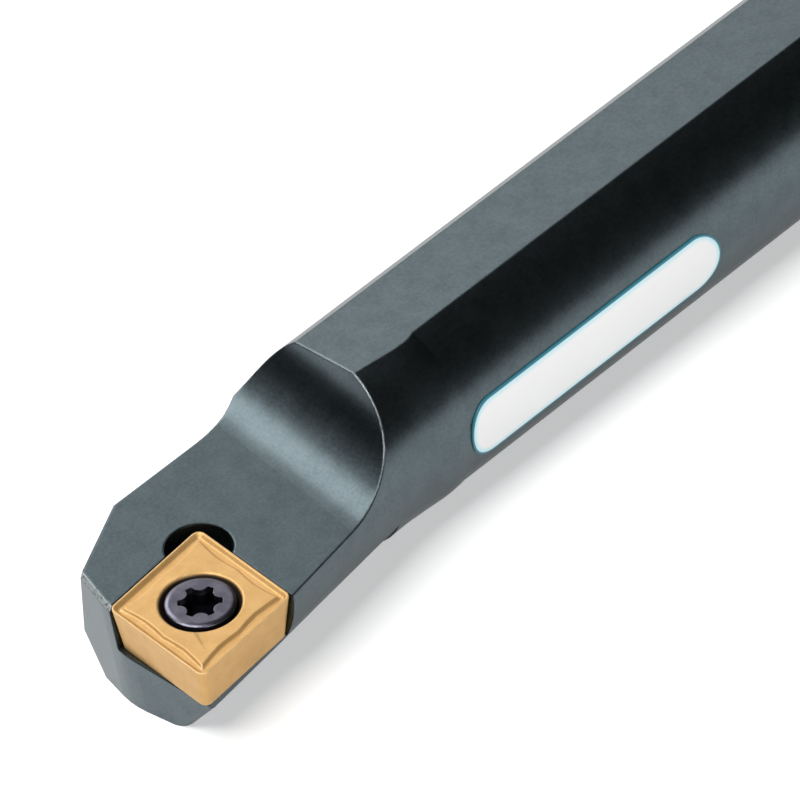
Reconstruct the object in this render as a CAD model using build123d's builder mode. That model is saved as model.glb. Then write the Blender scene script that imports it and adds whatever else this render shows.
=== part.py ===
from build123d import *
from math import asin, cos, degrees, radians, sin, tan
import os

# Boring bar, right hand, with one rhombic insert held by a screw.
# Frame: X runs along the shank's axis from the rear end face to the tip, Z is up,
# and +Y is the side on which the cutting corner stands out. Millimetres.

# Driving dimensions: the shank
SHANK_DIAMETER = 10.0
OVERALL_LENGTH = 125.0        # rear end face to the cutting corner
HEIGHT_OVER_FLATS = 9.0       # clamping flat above, rest flat below
REAR_CHAMFER = 0.6

# The indexable insert: 80 degree rhombus with relief flanks
CORNER_REACH = 7.0            # shank axis to the cutting corner, along Y
INSERT_TILT = 9.0             # the insert's plane falls towards the cutting corner
LEAD_RELIEF = 5.0             # each cutting edge stands this far off X or Y
INSCRIBED_CIRCLE = 6.35
POINT_ANGLE = 80.0
INSERT_THICKNESS = 2.38
FLANK_ANGLE = 7.0
NOSE_RADIUS = 0.4
INSERT_HOLE = 2.8
COUNTERSINK_DIAMETER = 3.8
COUNTERSINK_ANGLE = 60.0
EDGE_LAND = 0.14              # flat land along the cutting edges
GROOVE_DEPTH = 0.16
GROOVE_TAPER = 45.0
PLATEAU_TAPER = 30.0
POINT_INSET = 0.62            # from the insert's sharp corner to the plateau's point
SWELL_INSET = 0.44            # plateau's edge behind the middle of each side

# The clamping screw, its head conical like the insert's countersink
THREAD_DIAMETER = 2.5
HEAD_DIAMETER = 3.3
HEAD_SINK = 0.05              # top of the head below the top of the insert
SCREW_LENGTH = 4.5
TIP_CHAMFER = 0.3
LOBE_CIRCLE = 2.06            # across the six lobes of the socket
LOBE_WAIST = 1.49             # across the six ribs between them
RIB_RADIUS = 0.4
SOCKET_DEPTH = 0.9

# The head: flare towards the insert
FLARE_SLOPE = 0.16            # sideways growth per millimetre towards the tip
FLARE_START = 16.0            # distance behind the tip
FLARE_EASE = 1.5              # half the length of the easing curve there
HEEL_START = 9.0              # where the lower side begins to widen as well
HEEL_WIDENING = 2.8
HEEL_EDGE = 4.34              # the heel's bevel leaves the rest flat at this Y
HEEL_ANGLE = 48.0             # the bevel's normal below the horizontal
HEEL_TAPER = 5.6              # and behind the sideways direction
NECK_HALF_HEIGHT = 4.8        # of the flared side, a little under the shank's radius
STOCK_SHARE = 0.96            # height of the round stock to be cut, over its diameter
LOFT_START = 20.0             # first section of the head behind the tip
LOFT_BEYOND = 0.6             # last section in front of it
LOFT_SECTIONS = 9

# Left flank, nose and front face
FLANK_Y = -3.9                # left flank at the level of the platform
FLANK_LENGTH = 11.0
FLANK_DRAFT = 14.0            # the flank leans out downwards
FLANK_RUNOUT_RADIUS = 7.6
FLANK_RUNOUT_SWEEP = 60.0
NOSE_CHAMFER_X = 5.6          # the nose chamfer leaves the flank this far behind the tip
NOSE_CHAMFER_ANGLE = 26.6
NOSE_BEVEL_X = 1.5            # a point of the bevel under the nose chamfer
NOSE_BEVEL_Y = -2.62
NOSE_BEVEL_Z = -3.3
NOSE_BEVEL_ANGLE = 27.0       # the bevel's normal below the horizontal
FRONT_X = 0.45                # the front face's square part behind the tip
FRONT_ZONE = 2.2              # the front edges' middles lie within this of the tip
FRONT_CORNER = 0.76           # Y where the angled part would meet the square part
FRONT_ANGLE = 18.0
FRONT_BLEND = 6.0
FRONT_CHAMFER = 0.2           # between the platform and the front face
HEEL_ROUNDING = 0.5           # of the front face's lower edge below the insert

# The run-out that climbs from the platform to the clamping flat
RUNOUT_RADIUS = 4.5
RUNOUT_START = 10.9           # distance behind the tip
RUNOUT_SKEW = 8.0             # the cutter crosses the bar a little askew

# The pocket
RELIEF_HOLE = 3.2             # frees the insert's inner corner
RELIEF_HOLE_INSET = 1.3       # its centre from that corner, towards the tip
RELIEF_HOLE_DEPTH = 0.2       # below the pocket's floor
SIDE_CLEARANCE = 0.06         # holder wall inside the insert's lower edge

# The stuck-on label
LABEL_LENGTH = 17.2
LABEL_WIDTH = 3.16
LABEL_THICKNESS = 0.08
LABEL_FRONT = 19.8            # its front end behind the tip
LABEL_ANGLE = 96.7            # its middle, from +Z towards +Y

# Worked-out values
radius = SHANK_DIAMETER / 2
flat_z = HEIGHT_OVER_FLATS / 2
far = 3 * SHANK_DIAMETER      # longer than any cut has to reach
tilt = radians(INSERT_TILT)
lead = radians(LEAD_RELIEF)
point = radians(POINT_ANGLE)
cone = radians(COUNTERSINK_ANGLE / 2)
edge_length = INSCRIBED_CIRCLE / sin(point)
flank_inset = INSERT_THICKNESS * tan(radians(FLANK_ANGLE))
# the sharp corner lies a little outside the rounded nose, which is what touches the work
overhang = NOSE_RADIUS * (cos(radians(45)) / sin(point / 2) - 1)

# The plane of the insert's top face and of the platform beside it, from the cutting corner
seat_plane = Plane(
    origin=(OVERALL_LENGTH, CORNER_REACH, 0),
    x_dir=(1, 0, 0),
    z_dir=(0, sin(tilt), cos(tilt)),
)
forward = Vector(cos(lead), sin(lead))      # along the edge that faces +Y
outward = Vector(sin(lead), cos(lead))      # along the edge that faces the tip
tip_corner = Vector(overhang, overhang)
rear_corner = tip_corner - forward * edge_length
left_corner = tip_corner - outward * edge_length
inner_corner = rear_corner - outward * edge_length
insert_centre = (tip_corner + inner_corner) * 0.5
inner_to_tip = (tip_corner - inner_corner).normalized()


def reach(x):
    """Half-width of the head on the insert's side: shank, easing curve, straight taper."""
    run = x - (OVERALL_LENGTH - FLARE_START - FLARE_EASE)
    if run <= 0:
        return radius
    if run < 2 * FLARE_EASE:
        return radius + FLARE_SLOPE * run**2 / (4 * FLARE_EASE)
    return radius + FLARE_SLOPE * (run - FLARE_EASE)


def half_height(x):
    """Half-height of the flared side, which thins a little as the flare begins."""
    run = (x - (OVERALL_LENGTH - FLARE_START - FLARE_EASE)) / FLARE_EASE
    return radius - (radius - NECK_HALF_HEIGHT) * min(1.0, max(0.0, run / 2))


def heel(x):
    """How far the lower side has moved out with the flare."""
    run = max(0.0, x - (OVERALL_LENGTH - HEEL_START))
    return HEEL_WIDENING * (run / HEEL_START) ** 2


def open_corner(corner):
    """Outline of the region in front of and outside a corner of the insert."""
    ahead = corner + forward * far
    beside = corner + outward * far
    return corner, ahead, ahead + outward * far, beside


# --- Bar body: round stock that flares towards the insert, one piece of steel -----------
stock_angle = degrees(asin(STOCK_SHARE))      # the stock stands proud of both flats
section_step = (LOFT_START + LOFT_BEYOND) / (LOFT_SECTIONS - 1)

with BuildPart() as bar_body:
    with BuildSketch(Plane.YZ):
        Circle(radius)
    extrude(amount=OVERALL_LENGTH - LOFT_START)
    chamfer(bar_body.faces().sort_by(Axis.X)[0].edges(), REAR_CHAMFER)
    for section in range(LOFT_SECTIONS):
        x = OVERALL_LENGTH - LOFT_START + section * section_step
        with BuildSketch(Plane.YZ.offset(x)):
            with BuildLine():
                left = CenterArc((0, 0), radius, 180 - stock_angle, 2 * stock_angle)
                right = EllipticalCenterArc(
                    (heel(x), 0),
                    reach(x) - heel(x),
                    half_height(x),
                    -stock_angle,
                    arc_size=2 * stock_angle,
                )
                Line(left @ 1, right @ 0)
                Line(right @ 1, left @ 0)
            make_face()
    loft()

    # the two flats: the clamping screws press on the upper one, the lower one rests
    for side in (1, -1):
        with Locations((OVERALL_LENGTH / 2, 0, side * (flat_z + far / 2))):
            Box(OVERALL_LENGTH + far, far, far, mode=Mode.SUBTRACT)

    # the platform, level with the insert's top, and the round run-out that climbs from it
    skew = radians(RUNOUT_SKEW)
    along = seat_plane.x_dir * cos(skew) - seat_plane.y_dir * sin(skew)
    runout_plane = Plane(
        origin=seat_plane.origin, x_dir=along, z_dir=along.cross(seat_plane.z_dir)
    )
    with BuildSketch(runout_plane):
        with BuildLine():
            level = Line((far, 0), (-RUNOUT_START, 0))
            climb = JernArc(level @ 1, level % 1, RUNOUT_RADIUS, -90)
            Polyline(climb @ 1, climb @ 1 + Vector(0, far), (far, far), level @ 0)
        make_face()
    extrude(amount=far, both=True, mode=Mode.SUBTRACT)

    # left flank with its concave run-out, and the chamfer of the nose in front of it
    platform_z = (CORNER_REACH - FLANK_Y) * tan(tilt)
    with BuildSketch(Plane.XY.offset(platform_z)) as beside_flank:
        with BuildLine():
            flank = Line(
                (OVERALL_LENGTH - NOSE_CHAMFER_X, FLANK_Y),
                (OVERALL_LENGTH - FLANK_LENGTH, FLANK_Y),
            )
            sweep_out = JernArc(flank @ 1, flank % 1, FLANK_RUNOUT_RADIUS, FLANK_RUNOUT_SWEEP)
            nose = PolarLine(flank @ 0, far, NOSE_CHAMFER_ANGLE)
            Polyline(
                sweep_out @ 1,
                sweep_out @ 1 - Vector(0, far),
                nose @ 1 - Vector(0, far),
                nose @ 1,
            )
        make_face()
    extrude(amount=-SHANK_DIAMETER, taper=FLANK_DRAFT, mode=Mode.SUBTRACT)
    extrude(beside_flank.sketch, amount=flat_z, taper=-FLANK_DRAFT, mode=Mode.SUBTRACT)

    # the bevel that rounds off the nose below the chamfer
    nose_angle = radians(NOSE_CHAMFER_ANGLE)
    bevel_angle = radians(NOSE_BEVEL_ANGLE)
    bevel_plane = Plane(
        origin=(OVERALL_LENGTH - NOSE_BEVEL_X, NOSE_BEVEL_Y, NOSE_BEVEL_Z),
        z_dir=(
            cos(bevel_angle) * sin(nose_angle),
            -cos(bevel_angle) * cos(nose_angle),
            -sin(bevel_angle),
        ),
    )
    with BuildSketch(bevel_plane):
        Rectangle(far, far)
    extrude(amount=far, mode=Mode.SUBTRACT)

    # front face: angled on the left, square below the insert
    with BuildSketch(Plane.XY.offset(flat_z)):
        with BuildLine():
            bend = Vector(OVERALL_LENGTH - FRONT_X, FRONT_CORNER)
            angled = PolarLine(bend, far, 270 - FRONT_ANGLE, mode=Mode.PRIVATE)
            face_line = FilletPolyline(
                angled @ 1, bend, bend + Vector(0, far), radius=FRONT_BLEND
            )
            Polyline(face_line @ 1, face_line @ 1 + Vector(far, 0), face_line @ 0)
        make_face()
    extrude(amount=-SHANK_DIAMETER, mode=Mode.SUBTRACT)

    # the edge between the platform and the front face is broken beside the pocket
    platform = bar_body.faces().filter_by(
        lambda face: face.normal_at().dot(seat_plane.z_dir) > cos(radians(1))
    )[0]
    chamfer(
        platform.edges().filter_by(lambda edge: edge.center().X > OVERALL_LENGTH - FRONT_ZONE),
        FRONT_CHAMFER,
    )

    # the pocket: floor and two walls that lean like the insert's flanks
    with BuildSketch(seat_plane):
        with BuildLine():
            Polyline(*open_corner(inner_corner), close=True)
        make_face()
    extrude(amount=-INSERT_THICKNESS, taper=FLANK_ANGLE, mode=Mode.SUBTRACT)
    with BuildSketch(seat_plane):
        with Locations(inner_corner + inner_to_tip * RELIEF_HOLE_INSET):
            Circle(RELIEF_HOLE / 2)
    extrude(amount=-INSERT_THICKNESS - RELIEF_HOLE_DEPTH, mode=Mode.SUBTRACT)

    # the wall below the side cutting edge carries on the insert's relief
    lower_rear = rear_corner + (forward - outward) * (flank_inset / sin(point))
    with BuildSketch(seat_plane.offset(-INSERT_THICKNESS)):
        with BuildLine():
            Polyline(*open_corner(lower_rear - outward * SIDE_CLEARANCE), close=True)
        make_face()
    extrude(amount=-SHANK_DIAMETER, taper=-FLANK_ANGLE, mode=Mode.SUBTRACT)

    # the heel's bevel, which clears the wall of the bore
    heel_angle = radians(HEEL_ANGLE)
    heel_taper = radians(HEEL_TAPER)
    heel_plane = Plane(
        origin=(OVERALL_LENGTH, HEEL_EDGE, -flat_z),
        z_dir=(
            -sin(heel_taper),
            cos(heel_taper) * cos(heel_angle),
            -cos(heel_taper) * sin(heel_angle),
        ),
    )
    with BuildSketch(heel_plane):
        Rectangle(far, far)
    extrude(amount=far, mode=Mode.SUBTRACT)
    heel_edges = bar_body.faces().filter_by(
        lambda face: face.normal_at().dot(heel_plane.z_dir) > cos(radians(1))
    )[0].edges()
    fillet(heel_edges.sort_by(Axis.X)[-1], HEEL_ROUNDING)

    # tapped hole for the clamping screw, through to the rest flat
    with BuildSketch(seat_plane):
        with Locations(insert_centre):
            Circle(THREAD_DIAMETER / 2)
    extrude(amount=-far, mode=Mode.SUBTRACT)

# --- Cutting insert: sintered rhombus with flanks that relieve all four edges ------------
with BuildPart() as cutting_insert:
    with BuildSketch(seat_plane) as outline:
        with BuildLine():
            Polyline(tip_corner, rear_corner, inner_corner, left_corner, close=True)
        make_face()
        fillet(outline.vertices(), NOSE_RADIUS)
    extrude(amount=-INSERT_THICKNESS, taper=FLANK_ANGLE)

    # chip groove: a hollow inside the edges, and in it a plateau that reaches into
    # each corner as a narrow point and swells towards the middle of each side
    with BuildSketch(seat_plane):
        with BuildLine():
            Polyline(tip_corner, rear_corner, inner_corner, left_corner, close=True)
        make_face()
        offset(amount=-EDGE_LAND, kind=Kind.INTERSECTION)
    extrude(amount=-GROOVE_DEPTH, taper=GROOVE_TAPER, mode=Mode.SUBTRACT)
    with BuildSketch(seat_plane.offset(-GROOVE_DEPTH)):
        with BuildLine():
            corners = [tip_corner, rear_corner, inner_corner, left_corner]
            for start, end in zip(corners, corners[1:] + corners[:1]):
                side = (end - start).normalized()
                inward = (insert_centre - start).normalized()
                outwards = (end - insert_centre).normalized()
                middle = (start + end) * 0.5
                swell = middle + (insert_centre - middle).normalized() * SWELL_INSET
                Spline(
                    start + inward * POINT_INSET,
                    swell,
                    end - outwards * POINT_INSET,
                    tangents=((inward + side).normalized(), (outwards + side).normalized()),
                )
        make_face()
    extrude(amount=GROOVE_DEPTH, taper=PLATEAU_TAPER)

    # screw hole with its conical countersink
    with BuildSketch(seat_plane):
        with Locations(insert_centre):
            Circle(INSERT_HOLE / 2)
    extrude(amount=-far, mode=Mode.SUBTRACT)
    with BuildSketch(seat_plane):
        with Locations(insert_centre):
            Circle(COUNTERSINK_DIAMETER / 2)
    countersink_depth = (COUNTERSINK_DIAMETER - INSERT_HOLE) / 2 / tan(cone)
    extrude(amount=-countersink_depth, taper=COUNTERSINK_ANGLE / 2, mode=Mode.SUBTRACT)

# --- Clamping screw: its conical head seats in the insert's countersink ------------------
with BuildPart() as clamp_screw:
    with BuildSketch(seat_plane.offset(-HEAD_SINK)):
        with Locations(insert_centre):
            Circle(HEAD_DIAMETER / 2)
    rim = (COUNTERSINK_DIAMETER - HEAD_DIAMETER) / 2 / tan(cone) - HEAD_SINK
    extrude(amount=-rim)
    with BuildSketch(seat_plane.offset(-HEAD_SINK - rim)):
        with Locations(insert_centre):
            Circle(HEAD_DIAMETER / 2)
    cone_height = (HEAD_DIAMETER - THREAD_DIAMETER) / 2 / tan(cone)
    extrude(amount=-cone_height, taper=COUNTERSINK_ANGLE / 2)
    with BuildSketch(seat_plane.offset(-HEAD_SINK - rim)):
        with Locations(insert_centre):
            Circle(THREAD_DIAMETER / 2)
    extrude(amount=rim - SCREW_LENGTH)
    chamfer(clamp_screw.faces().sort_by(Axis.Z)[0].edges(), TIP_CHAMFER)

    # six-lobed socket
    with BuildSketch(seat_plane.offset(-HEAD_SINK)):
        with Locations(insert_centre):
            Circle(LOBE_CIRCLE / 2)
            with PolarLocations(LOBE_WAIST / 2 + RIB_RADIUS, 6):
                Circle(RIB_RADIUS, mode=Mode.SUBTRACT)
    extrude(amount=-SOCKET_DEPTH, mode=Mode.SUBTRACT)

# --- Label: thin film with round ends, wrapped on the side of the shank ------------------
with BuildPart() as shank_label:
    with BuildSketch(Plane.YZ.offset(OVERALL_LENGTH - LABEL_FRONT - LABEL_LENGTH)):
        Circle(radius + LABEL_THICKNESS)
        Circle(radius, mode=Mode.SUBTRACT)
    extrude(amount=LABEL_LENGTH)
    facing = radians(LABEL_ANGLE)
    label_plane = Plane(
        origin=(OVERALL_LENGTH - LABEL_FRONT - LABEL_LENGTH / 2, 0, 0),
        x_dir=(1, 0, 0),
        z_dir=(0, sin(facing), cos(facing)),
    )
    with BuildSketch(label_plane):
        SlotOverall(LABEL_LENGTH, LABEL_WIDTH)
    extrude(amount=SHANK_DIAMETER, mode=Mode.INTERSECT)

os.makedirs("parts", exist_ok=True)
bar_body.part.label = "bar_body"
export_step(bar_body.part, "parts/bar_body.step")
cutting_insert.part.label = "cutting_insert"
export_step(cutting_insert.part, "parts/cutting_insert.step")
clamp_screw.part.label = "clamp_screw"
export_step(clamp_screw.part, "parts/clamp_screw.step")
shank_label.part.label = "shank_label"
export_step(shank_label.part, "parts/shank_label.step")
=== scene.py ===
# %% [markdown]
# # A boring bar
#
# A boring bar is a slim steel tool that reaches into a drilled hole and turns it
# to size. Its shank is clamped by two ground flats, and its head carries a small
# replaceable insert of coated carbide, held by one screw through its middle.
# This lesson dresses the solid model of such a bar: first the camera and the
# light, then a finish for the steel, and then the insert, the screw and the
# label in more detail than a solid model needs.

# %% Load the solid model
from math import cos, pi, radians, sin, tan

import bmesh
import bpy
from mathutils import Matrix, Vector


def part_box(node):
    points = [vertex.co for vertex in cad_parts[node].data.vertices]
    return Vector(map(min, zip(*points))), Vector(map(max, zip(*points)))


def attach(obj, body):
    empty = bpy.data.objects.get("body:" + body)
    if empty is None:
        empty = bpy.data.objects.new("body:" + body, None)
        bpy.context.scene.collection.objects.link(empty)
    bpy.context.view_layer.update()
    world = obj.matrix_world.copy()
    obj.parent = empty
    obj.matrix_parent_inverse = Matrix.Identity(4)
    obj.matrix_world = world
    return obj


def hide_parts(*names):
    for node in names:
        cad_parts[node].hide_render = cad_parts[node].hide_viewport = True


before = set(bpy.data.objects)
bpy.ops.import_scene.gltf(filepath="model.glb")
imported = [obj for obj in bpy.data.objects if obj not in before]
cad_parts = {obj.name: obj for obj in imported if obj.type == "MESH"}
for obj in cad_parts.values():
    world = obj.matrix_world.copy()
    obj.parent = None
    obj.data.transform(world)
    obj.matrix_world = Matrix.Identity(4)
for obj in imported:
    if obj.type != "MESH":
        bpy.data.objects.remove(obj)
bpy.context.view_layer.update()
MM = 0.001
print("solids:", sorted(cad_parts))

# %% [markdown]
# ## The camera
#
# A long lens from above the cutting end makes the bar run away to the upper
# right with hardly any perspective. The camera's place is worked out from the
# cutting corner: an azimuth round the bar, an elevation above it, a distance,
# and a roll about the line of sight. It could be aimed by a constraint instead,
# but a roll is easier to give by three axes. The shift stays at zero, so that the
# same camera can walk round the tool.

# %% Where the camera looks from
CUTTING_CORNER = Vector((125.0, 7.0, 0.0)) * MM
CORNER_FROM_AXIS = Vector((-8.8477, -12.3591, 415.9)) * MM  # in the camera's own axes
AZIMUTH, ELEVATION, ROLL = radians(51.191), radians(34.902), radians(-12.731)
back = Vector((cos(ELEVATION) * cos(AZIMUTH), cos(ELEVATION) * sin(AZIMUTH), sin(ELEVATION)))
level_right = Vector((-sin(AZIMUTH), cos(AZIMUTH), 0.0))
level_up = back.cross(level_right)
right = cos(ROLL) * level_right + sin(ROLL) * level_up
up = cos(ROLL) * level_up - sin(ROLL) * level_right
away = -CORNER_FROM_AXIS.x * right - CORNER_FROM_AXIS.y * up + CORNER_FROM_AXIS.z * back
print("line of sight:", [round(c, 3) for c in back])


# %% Camera
def placed(point, x, y, z):
    """The matrix that carries the world's axes to x, y and z, at a point."""
    return Matrix.Translation(point) @ Matrix((x, y, z)).transposed().to_4x4()


SENSOR_WIDTH, FOCAL_LENGTH, NEAREST = 36.0, 418.455, 0.01
bpy.ops.object.camera_add()
camera = bpy.context.object
camera.name = "camera"
camera.data.sensor_width = SENSOR_WIDTH
camera.data.lens = FOCAL_LENGTH
camera.data.clip_start = NEAREST
camera.matrix_world = placed(CUTTING_CORNER + away, right, up, back)
bpy.context.scene.camera = camera
print("camera at", [round(c, 4) for c in camera.matrix_world.translation])

# %% [markdown]
# ## Arithmetic on sockets
#
# A finish is a formula: how dark is the metal here, how rough, how high. Written
# as nodes joined by hand it is hard to read, so a small class wraps a socket and
# lets plain arithmetic add the Math nodes.

# %% A wrapped socket
class Value:
    """The output of a node in a finish, which can be used in arithmetic."""

    def __init__(self, finish, socket):
        self.finish, self.socket = finish, socket

    def math(self, operation, *others):
        return self.finish.node("ShaderNodeMath", {"operation": operation}, self, *others)

    def __add__(self, other):
        return self.math("ADD", other)

    __radd__ = __add__

    def __sub__(self, other):
        return self.math("SUBTRACT", other)

    def __rsub__(self, other):
        return self.finish.node("ShaderNodeMath", {"operation": "SUBTRACT"}, other, self)

    def __mul__(self, other):
        return self.math("MULTIPLY", other)

    __rmul__ = __mul__

    def __abs__(self):
        return self.math("ABSOLUTE")

    def __pow__(self, other):
        return self.math("POWER", other)

    def smooth(self, low, high):
        """0 below low, 1 above high, and an eased step between them."""
        settings = {"data_type": "FLOAT", "interpolation_type": "SMOOTHSTEP"}
        return self.finish.node("ShaderNodeMapRange", settings, self, low, high, 0.0, 1.0)


# %% A material made of formulas
BEVEL_SAMPLES, EDGE_TURN = 6, (0.01, 0.12)


class Finish:
    """A material whose nodes are added by the formulas that use them."""

    def __init__(self, name):
        self.material = bpy.data.materials.new(name)
        self.material.use_nodes = True
        self.nodes = self.material.node_tree.nodes
        self.links = self.material.node_tree.links
        self.shader = self.nodes["Principled BSDF"]
        self.place = self.node("ShaderNodeTexCoord", {}, output="Object")

    def node(self, kind, settings, *inputs, output=0, **named):
        """Adds a node: first its settings, then the values or links of its sockets."""
        made = self.nodes.new(kind)
        for name, setting in settings.items():
            setattr(made, name, setting)
        for key, value in list(enumerate(inputs)) + list(named.items()):
            socket = made.inputs[key.replace("_", " ") if isinstance(key, str) else key]
            if isinstance(value, Value):
                self.links.new(value.socket, socket)
            else:
                socket.default_value = value
        return Value(self, made.outputs[output])

    def constant(self, **values):
        """Sets sockets of the shader to plain values."""
        for name, value in values.items():
            self.shader.inputs[name.replace("_", " ")].default_value = value

    def feed(self, name, value):
        """Links a formula to a socket of the shader."""
        self.links.new(value.socket, self.shader.inputs[name])

    def blend(self, factor, first, second):
        """A colour between two colours."""
        made = self.nodes.new("ShaderNodeMix")
        made.data_type = "RGBA"
        self.links.new(factor.socket, made.inputs["Factor"])
        for socket, colour in ((made.inputs[6], first), (made.inputs[7], second)):
            if isinstance(colour, Value):
                self.links.new(colour.socket, socket)
            else:
                socket.default_value = (*colour, 1.0)
        return Value(self, made.outputs[2])

    def noise(self, scale, detail=3.0, stretch=(1.0, 1.0, 1.0)):
        """Noise from 0 to 1, with scale in blotches per millimetre."""
        per_metre = tuple(s / MM for s in stretch)
        spread = self.node("ShaderNodeMapping", {}, self.place, Scale=per_metre)
        return self.node("ShaderNodeTexNoise", {}, Vector=spread, Scale=scale, Detail=detail)

    def bump(self, height, distance, **more):
        """A normal from a height from 0 to 1, where 1 is distance in metres."""
        return self.node("ShaderNodeBump", {}, Height=height, Distance=distance, **more)

    def vectors(self, operation, *inputs, output="Vector"):
        """Arithmetic on places and directions."""
        settings = {"operation": operation}
        return self.node("ShaderNodeVectorMath", settings, *inputs, output=output)

    def from_axis(self, centre, direction):
        """Distance of the place from a line, in millimetres."""
        arm = self.vectors("SUBTRACT", self.place, tuple(centre))
        turned = self.vectors("CROSS_PRODUCT", arm, tuple(direction))
        return self.vectors("LENGTH", turned, output="Value") * (1 / MM)

    def height(self, centre, direction):
        """How far the place lies along a direction from a point, in millimetres."""
        arm = self.vectors("SUBTRACT", self.place, tuple(centre))
        return self.vectors("DOT_PRODUCT", arm, tuple(direction), output="Value") * (1 / MM)

    def facing(self):
        """The direction the face itself looks in, without any smoothing."""
        return self.node("ShaderNodeNewGeometry", {}, output="True Normal")

    def edges(self, radius):
        """A normal that rounds every edge, and a mask that is 1 on the edges."""
        rounded = self.node("ShaderNodeBevel", {"samples": BEVEL_SAMPLES}, Radius=radius)
        along = self.vectors("DOT_PRODUCT", rounded, self.facing(), output="Value")
        return rounded, (1 - along).smooth(*EDGE_TURN)

    def axis(self, name):
        """One coordinate of the place, in millimetres."""
        return self.node("ShaderNodeSeparateXYZ", {}, self.place, output=name) * (1 / MM)


# %% Colours as they look on a screen
def srgb(*levels):
    """A colour given by its red, green and blue on a screen, 0 to 255, in linear light."""
    return tuple(((c / 255 + 0.055) / 1.055) ** 2.4 if c > 10 else c / 3294.6 for c in levels)


print("middle grey in linear light:", round(srgb(128, 128, 128)[0], 3))

# %% [markdown]
# ## Floor and light
#
# The bar lies on its lower clamping flat on a plain white table. The table could
# be lit until it turns white, but that much light would turn the steel grey. So
# it glows by itself for the camera, and more weakly where the tool mirrors it,
# and its glow lights nothing else. It lies a hair below the flat, because two
# faces in one plane would flicker.

# %% Floor
TABLE_SIZE, FLOOR_GAP, TABLE_GLOW, MIRRORED_SHARE = 6.0, 0.02, 0.40, 0.6
FLOOR_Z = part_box("bar_body")[0].z - FLOOR_GAP * MM
bpy.ops.mesh.primitive_plane_add(size=TABLE_SIZE, location=(0.1, 0.0, FLOOR_Z))
floor = bpy.context.object
floor.name = "floor"

paper = Finish("paper")
paper.constant(Base_Color=(0.82, 0.82, 0.82, 1.0), Roughness=1.0, Specular_IOR_Level=0.0)
seen = paper.node("ShaderNodeLightPath", {}, output="Is Camera Ray")
mirrored = paper.node("ShaderNodeLightPath", {}, output="Is Glossy Ray")
passed = paper.node("ShaderNodeLightPath", {}, output="Is Transmission Ray")
glow = paper.node("ShaderNodeEmission", {}, Color=(1.0, 1.0, 1.0, 1.0), Strength=TABLE_GLOW)
none = paper.node("ShaderNodeEmission", {}, Color=(1.0, 1.0, 1.0, 1.0), Strength=0.0)
share = (seen + MIRRORED_SHARE * mirrored + passed).math("MINIMUM", 1.0)
shown = paper.node("ShaderNodeMixShader", {}, share, none, glow)
both = paper.nodes.new("ShaderNodeAddShader")
paper.links.new(paper.shader.outputs[0], both.inputs[0])
paper.links.new(shown.socket, both.inputs[1])
paper.links.new(both.outputs[0], paper.nodes["Material Output"].inputs["Surface"])
floor.data.materials.append(paper.material)
print("floor at z =", round(FLOOR_Z / MM, 2), "mm")


# %% [markdown]
# ## Soft panels in a dim room
#
# Dark steel shows mostly what it mirrors, so each soft panel has a task of its
# own. The overhead one, a little in front of the head, lights the table and the
# insert. The mirror panel stands opposite the camera, in the mirror line of the
# clamping flat. The strip panel, higher up on the same side, draws the light band
# on the round run-out, and the side panel lights the side that faces the camera.
# One big dome of light would be simpler, but it would make the steel evenly grey.
# Between the panels the room stays dim, and the round side of the shank mirrors
# that and turns nearly black. The camera alone sees the room as white.

# %% Light panels
def panel(name, towards, distance, width, height, power):
    """A soft rectangular lamp that looks at the head of the bar, in metres and watts."""
    direction = Vector(towards).normalized()
    bpy.ops.object.light_add(type="AREA", location=CUTTING_CORNER + direction * distance)
    lamp = bpy.context.object
    lamp.name = name
    lamp.data.shape = "RECTANGLE"
    lamp.data.size, lamp.data.size_y = width, height
    lamp.data.energy = power
    lamp.rotation_euler = direction.to_track_quat("Z", "Y").to_euler()
    print(name, "of", width, "by", height, "m and", power, "W")


panel("overhead_panel", (0.36, 0.00, 0.93), 0.8, 0.5, 0.5, 5.4)
panel("mirror_panel", (-0.50, -0.66, 0.56), 0.9, 0.75, 0.75, 1.95)
panel("strip_panel", (-0.13, -0.66, 0.74), 0.9, 0.42, 0.5, 3.0)
panel("side_panel", (0.35, 0.90, 0.30), 0.9, 0.4, 0.4, 3.6)

# %% The room
DIM, WHITE = 0.01, 1.0
world = bpy.data.worlds.new("room")
bpy.context.scene.world = world
world.use_nodes = True
sky = world.node_tree
air = sky.nodes["Background"]
path = sky.nodes.new("ShaderNodeLightPath")
level = sky.nodes.new("ShaderNodeMapRange")
level.inputs["To Min"].default_value = DIM
level.inputs["To Max"].default_value = WHITE
sky.links.new(path.outputs["Is Camera Ray"], level.inputs["Value"])
sky.links.new(level.outputs["Result"], air.inputs["Strength"])
air.inputs["Color"].default_value = (1.0, 1.0, 1.0, 1.0)
bpy.context.scene.view_settings.view_transform = "Standard"
print("room:", DIM, "for the tool and", WHITE, "for the camera")

# %% [markdown]
# ## Blackened steel
#
# The bar is hardened steel with a thin black oxide, milled and ground before it
# was blackened. The oxide is a dark, satin skin that mirrors weakly, so its
# colour is nearly black and its shine is that of a dark metal. Fine grinding
# lines run along the bar, and a broad faint mottling breaks the sheen. The upper
# edges of the step are lighter and duller, partly wear of the oxide and partly a
# painted highlight, and the little chamfer round the front is a painted highlight.
# Along the lower edges of the head a painted shade makes the steel nearly black.
# These marks could be painted on, but formulas of the place on the bar need no image and no seams.

# %% Steel: noise, and where the edges are
STEEL_EDGE = 0.17
steel = Finish("blackened_steel_finish")
mottle = steel.noise(0.9, 4.0)
grain = steel.noise(7.0, 3.0)
lines = steel.noise(6.0, 3.0, stretch=(0.12, 1.0, 1.0))
rounded, edge = steel.edges(STEEL_EDGE * MM)
print("edges of the steel are rounded by", STEEL_EDGE, "mm")
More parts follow.
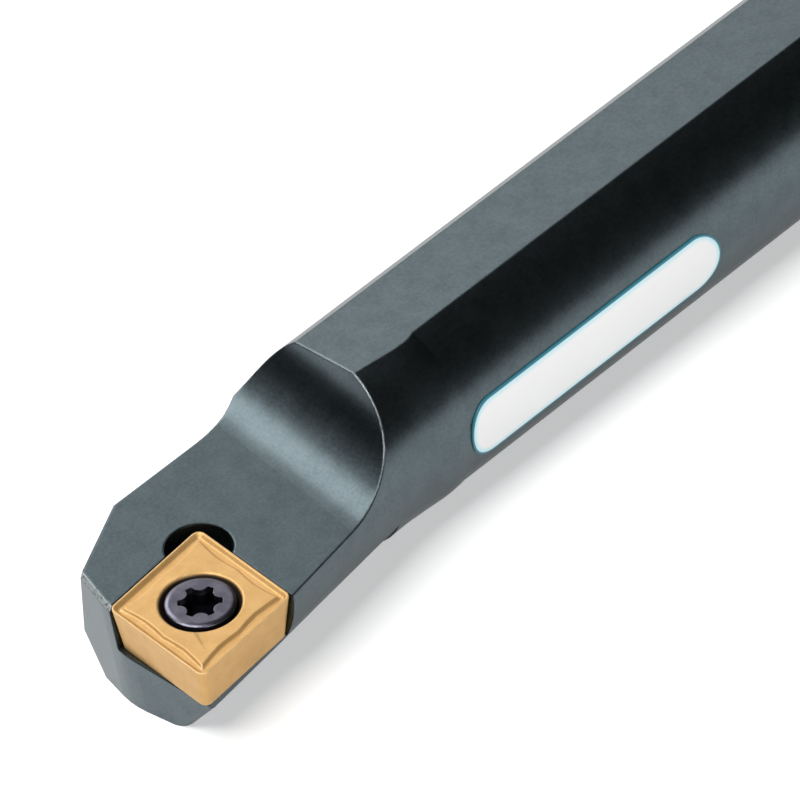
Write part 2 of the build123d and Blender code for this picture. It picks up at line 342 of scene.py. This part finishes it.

# %% Steel: edge wear with a painted highlight, and a painted shade
CHAMFER_X, CHAMFER_SLOPE = (118.0, 118.5), (1.15, 1.25)
WEAR_AND_HIGHLIGHT_X, WEAR_AND_HIGHLIGHT_Z = (106.0, 112.0), (1.4, 2.4)
EDGE_SHADE_X, EDGE_SHADE_Z = (108.0, 110.0), (1.2, 2.0)
tipped = steel.vectors("DOT_PRODUCT", steel.facing(), (1.0, 0.0, 1.0), output="Value")
# The front chamfer is painted lighter: a painted highlight.
chamfer_highlight = steel.axis("X").smooth(*CHAMFER_X) * tipped.smooth(*CHAMFER_SLOPE)
# The upper edges of the step are painted lighter: partly wear of the oxide, partly a painted
# highlight.
rubbed_and_lit = edge * steel.axis("Z").smooth(*WEAR_AND_HIGHLIGHT_Z) * steel.axis("X").smooth(*WEAR_AND_HIGHLIGHT_X)
wear_and_highlight = rubbed_and_lit.math("MAXIMUM", chamfer_highlight) * grain.smooth(0.25, 0.5)
# Painted shade along the lower edges of the head.
painted_edge_shade = edge * (1 - steel.axis("Z").smooth(*EDGE_SHADE_Z)) * steel.axis("X").smooth(*EDGE_SHADE_X)
print("oxide is rubbed from x =", WEAR_AND_HIGHLIGHT_X[0], "mm on")

# %% Steel: its colour, sheen and relief
STEEL_RELIEF = 0.0009
speckle = (0.4 * mottle + 0.6 * grain).smooth(0.3, 0.7)
oxide = steel.blend(speckle, srgb(82, 93, 97), srgb(96, 107, 111))
# Painted shade: the lower edges of the head turn nearly black.
edge_shaded_oxide = steel.blend(painted_edge_shade, oxide, srgb(26, 30, 32))
# The pale, less metallic colour on the upper edges and the chamfer is partly wear, partly a painted
# highlight.
steel.feed("Base Color", steel.blend(wear_and_highlight, edge_shaded_oxide, srgb(176, 182, 182)))
steel.feed("Roughness", 0.25 + 0.04 * mottle + 0.08 * grain)
steel.feed("Normal", steel.bump(0.5 * lines + 0.5 * grain, STEEL_RELIEF * MM, Normal=rounded))
steel.feed("Metallic", 1 - 0.6 * wear_and_highlight)
print("steel finish:", len(steel.nodes), "nodes")

# %% [markdown]
# ## The insert's sizes and its seat
#
# The insert is a standard rhombus with a corner of 80 degrees, and its pocket
# tilts it by 9 degrees about the length of the bar. It could be modelled in
# place, but flat at the origin every cut is straight, so one matrix carries it to
# its seat afterwards. Its rounded corner has to reach the cutting corner. The
# sharp point of the rhombus therefore lies beyond that, by the overhang.

# %% Sizes and seat
INSCRIBED_CIRCLE, POINT_ANGLE, THICKNESS = 6.35, radians(80), 2.38
NOSE_RADIUS, FLANK_ANGLE, TILT = 0.4, radians(7), radians(9)
side_length = INSCRIBED_CIRCLE / sin(POINT_ANGLE)
long_half = side_length * cos(POINT_ANGLE / 2)
short_half = side_length * sin(POINT_ANGLE / 2)
overhang = NOSE_RADIUS * (cos(pi / 4) / sin(POINT_ANGLE / 2) - 1)

seat_x = Vector((1, 0, 0))
seat_z = Vector((0, sin(TILT), cos(TILT)))
seat_y = seat_z.cross(seat_x)
towards_tip = (seat_x + seat_y).normalized()
insert_centre = CUTTING_CORNER + ((seat_x + seat_y) * overhang - towards_tip * long_half) * MM
across = seat_z.cross(towards_tip)
seat = placed(insert_centre, towards_tip, across, seat_z)
print("insert's middle:", [round(c / MM, 2) for c in insert_centre])


# %% [markdown]
# ## Coated carbide
#
# The insert is pressed and sintered carbide under a golden coating a few
# thousandths of a millimetre thick. The grains of the powder show as a fine
# sparkle, and every edge is painted a paler gold, a painted highlight. The hole
# lies in its own shade, which the colour deepens. Noise in three dimensions needs
# no unwrapping, so the sparkle runs over every edge without a seam.

# %% Coated carbide
CARBIDE_EDGE, CARBIDE_RELIEF, HOLE_SHADE = 0.09, 0.003, (1.86, 1.97)
carbide = Finish("coated_carbide_finish")
cloud = carbide.noise(1.2, 3.0)
powder = carbide.noise(22.0, 2.0)
rounded, painted_edge_highlight = carbide.edges(CARBIDE_EDGE * MM)
sparkle = (0.5 * cloud + 0.5 * powder).smooth(0.3, 0.7)
gold = carbide.blend(sparkle, srgb(204, 160, 98), srgb(220, 178, 116))
# Painted highlight: every edge is painted a paler gold.
highlighted_gold = carbide.blend(painted_edge_highlight, gold, srgb(255, 232, 188))
in_hole = 1 - carbide.from_axis(insert_centre, seat_z).smooth(*HOLE_SHADE)
carbide.feed("Base Color", carbide.blend(in_hole, highlighted_gold, srgb(40, 30, 22)))
carbide.feed("Roughness", 0.44 + 0.08 * powder)
carbide.feed("Normal", carbide.bump(powder, CARBIDE_RELIEF * MM, Normal=rounded))
carbide.constant(Metallic=0.6)
print("carbide finish:", len(carbide.nodes), "nodes")

# %% [markdown]
# ## Screw steel
#
# The little screw is hardened steel with a lilac-grey temper colour and a fine
# grain. Its socket is painted darker than the head, a painted shade, and is duller.
# The socket could have a material of its own, but the depth below the insert's
# top and the distance from the screw's axis tell the finish where it is.

# %% Screw steel
SCREW_RELIEF, SOCKET_SHADE_DEPTH, SOCKET_SHADE_RADIUS = 0.002, (-0.32, -0.16), (1.05, 1.12)
screw = Finish("screw_steel_finish")
tint = screw.noise(1.8, 3.0)
fine = screw.noise(18.0, 2.0)
below = 1 - screw.height(insert_centre, seat_z).smooth(*SOCKET_SHADE_DEPTH)
within = 1 - screw.from_axis(insert_centre, seat_z).smooth(*SOCKET_SHADE_RADIUS)
# Painted shade: the socket is painted nearly black.
painted_socket_shade = below * within
skin = screw.blend(tint.smooth(0.3, 0.7), srgb(90, 89, 100), srgb(108, 107, 118))
screw.feed("Base Color", screw.blend(painted_socket_shade, skin, srgb(22, 20, 26)))
screw.feed("Roughness", 0.28 + 0.08 * fine + 0.3 * painted_socket_shade)
screw.feed("Normal", screw.bump(fine, SCREW_RELIEF * MM))
screw.constant(Metallic=1.0)
print("screw finish:", len(screw.nodes), "nodes")

# %% [markdown]
# ## Label film
#
# A strip of white film with rounded ends is stuck round the side of the shank.
# A thin teal rim is printed along its edge. An image would need its own unwrapping,
# so how far a point is from the strip's middle line is worked out in the finish
# itself: along the bar it is the x coordinate, and round the bar it is the angle
# times the radius.

# %% Label: the distance from its middle line
LABEL_MIDDLE, LABEL_ANGLE, SHANK_RADIUS = 96.6, radians(96.7), 5.0
LABEL_HALF_LENGTH, LABEL_HALF_WIDTH = 8.6, 1.58
film = Finish("label_film_finish")
along = abs(film.axis("X") - LABEL_MIDDLE) - (LABEL_HALF_LENGTH - LABEL_HALF_WIDTH)
around = (film.axis("Y").math("ARCTAN2", film.axis("Z")) - LABEL_ANGLE) * SHANK_RADIUS
from_line = (along.math("MAXIMUM", 0.0) ** 2.0 + around * around).math("SQRT")
print("label:", 2 * LABEL_HALF_LENGTH, "by", 2 * LABEL_HALF_WIDTH, "mm")

# %% Label: its film, its faint tinge and its rim
FILM_RELIEF = 0.004
TINGE_STARTS, TINGE_FULL, RIM_STARTS, RIM_FULL = 0.42, 0.12, 0.13, 0.08
tinge = from_line.smooth(LABEL_HALF_WIDTH - TINGE_STARTS, LABEL_HALF_WIDTH - TINGE_FULL)
rim = from_line.smooth(LABEL_HALF_WIDTH - RIM_STARTS, LABEL_HALF_WIDTH - RIM_FULL)
white = film.blend(tinge, srgb(252, 252, 252), srgb(205, 243, 250))
film.feed("Base Color", film.blend(rim, white, srgb(38, 118, 136)))
film.feed("Roughness", 0.32 + 0.08 * film.noise(3.0))
film.feed("Normal", film.bump(film.noise(1.1, 2.0), FILM_RELIEF * MM))
print("label finish:", len(film.nodes), "nodes")

# %% [markdown]
# ## The insert
#
# The insert is a rhombus of pressed powder with leaning flanks. A hollow runs
# inside its cutting edges and curls the chip, and a plateau in the middle takes
# the screw. It is modelled in edit mode, as by hand, rather than from a list of
# points, so that each step can be seen: a cube is turned and stretched into the
# rhombus, its upright edges are rounded, and its top is inset and pushed down and
# up again. Only then is it carried to its seat.

# %% Helpers: start a shape and pick parts of it
def start(name):
    """Names the primitive that was just added, and opens it for editing."""
    obj = bpy.context.object
    obj.name = obj.data.name = name
    bpy.ops.object.transform_apply(location=True, rotation=True, scale=True)
    bpy.ops.object.mode_set(mode="EDIT")
    return obj


def pick(obj, part, wanted):
    """Selects the verts, edges or faces whose middle, in mm, and normal are wanted."""
    kinds = {"verts": "VERT", "edges": "EDGE", "faces": "FACE"}
    bpy.ops.mesh.select_mode(type=kinds[part])
    bpy.ops.mesh.select_all(action="DESELECT")
    work = bmesh.from_edit_mesh(obj.data)
    work.normal_update()
    chosen = 0
    for item in getattr(work, part):
        corners = [item] if part == "verts" else item.verts
        middle = sum((c.co for c in corners), Vector()) / len(corners) / MM
        normal = item.normal if part == "faces" else None
        if wanted(middle, normal):
            item.select_set(True)
            chosen += 1
    work.select_flush_mode()
    bmesh.update_edit_mesh(obj.data)
    return chosen


def upward(middle, normal):
    return normal.z > 0.9


def downward(middle, normal):
    return normal.z < -0.9


# %% Helpers: scale, extrude, apply and cut
def scale_by(x, y, z=1.0):
    """Scales what is selected about the origin."""
    bpy.ops.transform.resize(value=(x, y, z), center_override=(0, 0, 0))


def raise_face(height, radius_ratio=1.0):
    """Extrudes the selected face straight up or down and changes its width."""
    bpy.ops.mesh.extrude_region_move(TRANSFORM_OT_translate={"value": (0, 0, height * MM)})
    scale_by(radius_ratio, radius_ratio)


def apply(obj, kind, **settings):
    """Adds a modifier and applies it."""
    modifier = obj.modifiers.new(kind.lower(), kind)
    for name, setting in settings.items():
        setattr(modifier, name, setting)
    bpy.ops.object.select_all(action="DESELECT")
    bpy.context.view_layer.objects.active = obj
    obj.select_set(True)
    bpy.ops.object.modifier_apply(modifier=modifier.name)


def cut(obj, cutter):
    """Cuts one shape out of another, and throws the cutter away."""
    bpy.ops.object.mode_set(mode="OBJECT")
    apply(obj, "BOOLEAN", operation="DIFFERENCE", solver="EXACT", object=cutter)
    bpy.data.objects.remove(cutter)


# %% Insert: a rhombus with rounded corners and leaning flanks
CORNER_STEPS, NEAR_CORNER = 8, 0.1


def near_pair(middle, corner):
    """Whether a point lies above or below a corner or the one opposite."""
    return min((middle.xy - corner).length, (middle.xy + corner).length) < NEAR_CORNER


bpy.ops.object.select_all(action="DESELECT")
bpy.ops.mesh.primitive_cube_add(size=MM, location=(0, 0, 0))
insert = start("insert")
bpy.ops.transform.rotate(value=pi / 4, orient_axis="Z", center_override=(0, 0, 0))
scale_by(long_half * 2 ** 0.5, short_half * 2 ** 0.5, THICKNESS)
bpy.ops.transform.translate(value=(0, 0, -THICKNESS / 2 * MM))

sharp_corner = (POINT_ANGLE / 2, Vector((long_half, 0)))
blunt_corner = (pi / 2 - POINT_ANGLE / 2, Vector((0, short_half)))
for half_angle, corner in (sharp_corner, blunt_corner):
    found = pick(insert, "edges", lambda m, n: near_pair(m, corner))
    setback = NOSE_RADIUS / tan(half_angle) * MM
    bpy.ops.mesh.bevel(offset=setback, segments=CORNER_STEPS, profile=0.5, affect="EDGES")
    print("rounded", found, "upright edges")
inner_radius = INSCRIBED_CIRCLE / 2
pick(insert, "verts", lambda m, n: m.z < -THICKNESS / 2)
lean = 1 - THICKNESS * tan(FLANK_ANGLE) / inner_radius
scale_by(lean, lean)

# %% Insert: the land, the hollow of the chip groove and its floor
EDGE_LAND, GROOVE_DEPTH, GROOVE_FLOOR, NEAR_FOOT = 0.11, 0.16, 0.12, 0.08
pick(insert, "faces", upward)
bpy.ops.mesh.inset(thickness=EDGE_LAND * MM, depth=0.0)
bpy.ops.mesh.inset(thickness=GROOVE_DEPTH * MM, depth=-GROOVE_DEPTH * MM)
bpy.ops.mesh.inset(thickness=GROOVE_FLOOR * MM, depth=0.0)
inset_total = EDGE_LAND + GROOVE_DEPTH + GROOVE_FLOOR
foot_half = long_half * (1 - inset_total / inner_radius)
foot_short = short_half * (1 - inset_total / inner_radius)
for x, y in ((foot_half, 0), (-foot_half, 0), (0, foot_short), (0, -foot_short)):
    corner = Vector((x, y))
    pick(insert, "verts", lambda m, n: (m.xy - corner).length < NEAR_FOOT and m.z > -THICKNESS / 2)
    bpy.ops.mesh.merge(type="CENTER")
print("foot of the plateau:", round(2 * foot_half, 2), "by", round(2 * foot_short, 2), "mm")

# %% [markdown]
# ## The plateau
#
# The foot of the plateau is now a small sharp rhombus. On the real insert it
# swells at the middle of each side and draws in beside the corners, so each side
# is divided in eight, and the points are scaled in towards the middle by
# different amounts. Dividing the sides also divides the face between them into
# patches, which are joined again, so that one last inset can raise it whole. A
# ready outline could be extruded instead, but it would not share its points with
# the groove.

# %% Insert: the plateau
NECKS = {1: 0.950, 2: 0.925, 3: 0.938, 4: 0.968, 5: 0.938, 6: 0.925, 7: 0.950}
PLATEAU_RISE, PLATEAU_SLOPE = 0.14, 0.10


def on_floor(m):
    """Whether a point lies on the floor of the groove."""
    return abs(m.z + GROOVE_DEPTH) < 0.01


def reach(m):
    """1 on the sides of the foot, and less inside them."""
    return abs(m.x) / foot_half + abs(m.y) / foot_short


def on_foot(m):
    return on_floor(m) and abs(reach(m) - 1) < 0.006


sides = pick(insert, "edges", lambda m, n: on_foot(m))
bpy.ops.mesh.subdivide(number_cuts=7)
patches = pick(insert, "faces", lambda m, n: on_floor(m) and reach(m) < 0.99)
bpy.ops.mesh.dissolve_faces()
print("plateau sides:", sides, "patches joined:", patches)
for eighth, ratio in NECKS.items():
    along_side = eighth / 8
    pick(insert, "verts", lambda m, n: on_foot(m) and abs(abs(m.x) / foot_half - along_side) < 0.02)
    scale_by(ratio, ratio)
pick(insert, "faces", lambda m, n: on_floor(m) and m.xy.length < 0.1 and upward(m, n))
bpy.ops.mesh.inset(thickness=PLATEAU_SLOPE * MM, depth=PLATEAU_RISE * MM)

# %% [markdown]
# ## The insert's hole
#
# The hole is a cylinder that opens into a cone for the screw's head, with a
# rounded mouth. Edges of a pressed insert are never sharp, so the whole shape is
# bevelled at the end by a few hundredths of a millimetre. The hole could be part
# of the insets above, but cut with one solid it keeps its own round outline.

# %% Helpers: add a cylinder, and finish a shape
def cylinder(name, radius, depth, place, vertices=96):
    """Adds an upright cylinder and opens it: its sizes are in mm, its place in metres."""
    bpy.ops.object.mode_set(mode="OBJECT")
    bpy.ops.object.select_all(action="DESELECT")
    bpy.ops.mesh.primitive_cylinder_add(
        vertices=vertices, radius=radius * MM, depth=depth * MM, location=place)
    return start(name)


def soften_and_seat(obj, width, segments, sharper_than):
    """Bevels a shape and seats it. Its normals come last, or the move would undo them."""
    apply(obj, "BEVEL", width=width * MM, segments=segments,
          limit_method="ANGLE", angle_limit=radians(sharper_than))
    bpy.ops.object.shade_smooth_by_angle(angle=radians(35))
    obj.data.transform(seat)
    apply(obj, "WEIGHTED_NORMAL", keep_sharp=True)


# %% Insert: the hole with its conical countersink and rounded mouth
HOLE, MOUTH, CONE = 2.8 / 2, 3.8 / 2, radians(30)
LIP = ((0.05, 1.03), (0.03, 1.05))  # rise and widening of the two rings of the mouth
CLEAR = 0.5
cone_height = (MOUTH - HOLE) / tan(CONE)
lip_height = sum(rise for rise, widening in LIP)
shaft_height = THICKNESS + 2 * CLEAR
shaft_middle = -cone_height - lip_height - shaft_height / 2
cutter = cylinder("hole_cutter", HOLE, shaft_height, (0, 0, shaft_middle * MM))
pick(cutter, "faces", upward)
raise_face(cone_height, MOUTH / HOLE)
for rise, widening in LIP:
    raise_face(rise, widening)
raise_face(CLEAR)
cut(insert, cutter)
soften_and_seat(insert, 0.035, 3, 24)
print("insert:", len(insert.data.polygons), "faces")

# %% [markdown]
# ## The clamping screw
#
# The screw's conical head pulls the insert down and into its pocket. It is
# turned from bar and its six-lobed socket is pressed in. Here it is a cylinder
# whose bottom face is drawn down into the cone, the shank and the tip, and its
# top is domed by two small insets. The thread is left plain, because the bar
# hides it.

# %% Screw: head, cone, shank and tip
HEAD, THREAD, SCREW_LENGTH = 3.3 / 2, 2.5 / 2, 4.5
HEAD_SINK, TIP_CHAMFER = 0.04, 0.3
DOME = ((0.10, 0.05), (0.16, 0.03))  # how far in and how far up its two rings lie
head_rim = (MOUTH - HEAD) / tan(CONE) - HEAD_SINK
head_cone = (HEAD - THREAD) / tan(CONE)
screw_body = cylinder("screw", HEAD, head_rim, (0, 0, (-HEAD_SINK - head_rim / 2) * MM))
pick(screw_body, "faces", downward)
raise_face(-head_cone, THREAD / HEAD)
raise_face(head_rim + head_cone + TIP_CHAMFER - SCREW_LENGTH)
raise_face(-TIP_CHAMFER, 1 - TIP_CHAMFER / THREAD)
pick(screw_body, "faces", upward)
for inwards, rise in DOME:
    bpy.ops.mesh.inset(thickness=inwards * MM, depth=rise * MM)
print("screw:", SCREW_LENGTH, "mm long")

# %% [markdown]
# ## The socket
#
# A six-lobed key turns the screw. Six ribs stand into its round socket, so the
# cutter is a cylinder that six small cylinders have notched. A drawn star could
# be extruded instead, but a few radii say the same in fewer numbers.

# %% Screw: the six-lobed socket
LOBE_CIRCLE, LOBE_WAIST, RIB, SOCKET_DEPTH = 2.06 / 2, 1.49 / 2, 0.40, 0.9
sunk = Vector((0, 0, HEAD_SINK * MM))
socket = cylinder("socket_cutter", LOBE_CIRCLE, 2 * SOCKET_DEPTH, (0, 0, -HEAD_SINK * MM))
for lobe in range(6):
    angle = lobe * pi / 3
    rib_place = Vector((cos(angle), sin(angle), 0)) * (LOBE_WAIST + RIB) * MM - sunk
    cut(socket, cylinder("rib", RIB, 3 * SOCKET_DEPTH, rib_place, vertices=32))
cut(screw_body, socket)
soften_and_seat(screw_body, 0.04, 2, 28)
print("screw:", len(screw_body.data.polygons), "faces")

# %% [markdown]
# ## Put everything together
#
# The insert and the screw take the place of their solids, and the bar and the
# label are the solids themselves with a finish. The bar could be modelled again
# too, but a second copy could drift away from the solid that seats the insert.

# %% The insert and the screw replace their solids
insert_parts = (insert, "cutting_insert", "coated_carbide", carbide)
screw_parts = (screw_body, "clamp_screw", "screw_steel", screw)
for piece, node, slot, finish in (insert_parts, screw_parts):
    piece.data.materials.clear()
    piece.data.materials.append(finish.material)
    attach(piece, "root")
    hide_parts(node)
    print(piece.name, "replaces", node)

# %% The bar and the label take their finishes
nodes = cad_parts
for name, finish in (("bar_body", steel), ("shank_label", film)):
    nodes[name].material_slots[0].material = finish.material
    print(name, len(nodes[name].data.polygons), "faces")
